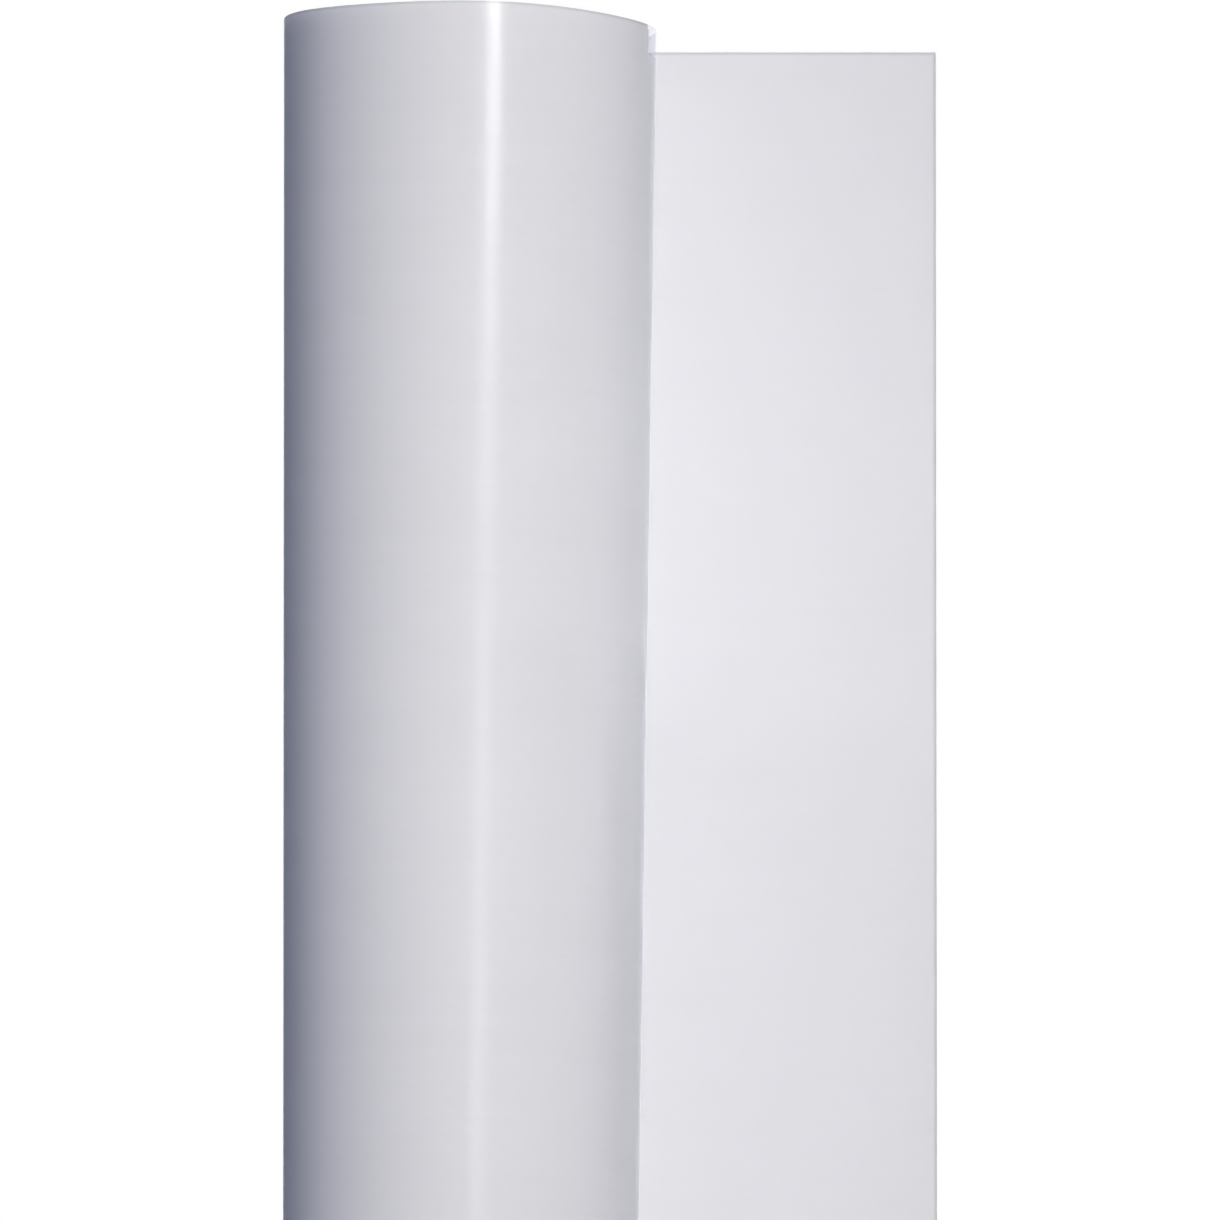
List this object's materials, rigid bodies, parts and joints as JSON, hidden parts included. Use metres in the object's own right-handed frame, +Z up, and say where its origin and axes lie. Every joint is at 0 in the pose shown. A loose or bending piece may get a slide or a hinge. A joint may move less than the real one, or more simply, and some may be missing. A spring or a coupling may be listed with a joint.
{
  "type": "backdrop roll",
  "caption": "Upright roll of satin white translucent backdrop sheet on a cardboard core, with its loose free end standing out flat behind it.",
  "frame": {"origin": "centre of the core's bore at the end that the roll stands on", "axes": "+Z up along the core; the free end of the sheet runs to +X on the roll's +Y side"},
  "size_m": [0.1485, 0.081, 1.372],
  "materials": {
    "sheet": "satin, faint calender marks across the sheet",
    "core": "spiral-wound kraft",
    "tape": "translucent tape"
  },
  "bodies": {
    "roll": {"core_tube": "core", "core_start_tape": "tape", "wound_sheet": "sheet", "loose_turn_inner": "sheet", "loose_turn_outer": "sheet"},
    "free_end_1": {"free_end_1": "sheet"},
    "free_end_2": {"free_end_2": "sheet"},
    "free_end_3": {"free_end_3": "sheet"},
    "free_end_4": {"free_end_4": "sheet"},
    "free_end_5": {"free_end_5": "sheet"}
  },
  "joints": [
    {"name": "free_end_lift", "type": "hinge", "parent": "roll", "child": "free_end_1", "pos_m": [0.00984, 0.04098, 0], "axis": [0, 0, 1], "range_deg": [-23, 60], "stiffness_Nm_per_rad": 0.05},
    {"name": "free_end_curl", "type": "hinge", "parent": "free_end_1", "child": "free_end_2", "pos_m": [0.02951, 0.04098, 0], "axis": [0, 0, 1], "range_deg": [-23, 8], "stiffness_Nm_per_rad": 0.05},
    {"name": "free_end_curl_3", "type": "hinge", "parent": "free_end_2", "child": "free_end_3", "pos_m": [0.04918, 0.04098, 0], "axis": [0, 0, 1], "range_deg": [-23, 8], "stiffness_Nm_per_rad": 0.05},
    {"name": "free_end_curl_4", "type": "hinge", "parent": "free_end_3", "child": "free_end_4", "pos_m": [0.06885, 0.04098, 0], "axis": [0, 0, 1], "range_deg": [-23, 8], "stiffness_Nm_per_rad": 0.05},
    {"name": "free_end_curl_5", "type": "hinge", "parent": "free_end_4", "child": "free_end_5", "pos_m": [0.08853, 0.04098, 0], "axis": [0, 0, 1], "range_deg": [-23, 8], "stiffness_Nm_per_rad": 0.05}
  ],
  "couplings": [
    {"joint": "free_end_curl_3", "follows": "free_end_curl", "ratio": 1},
    {"joint": "free_end_curl_4", "follows": "free_end_curl", "ratio": 1},
    {"joint": "free_end_curl_5", "follows": "free_end_curl", "ratio": 1}
  ]
}
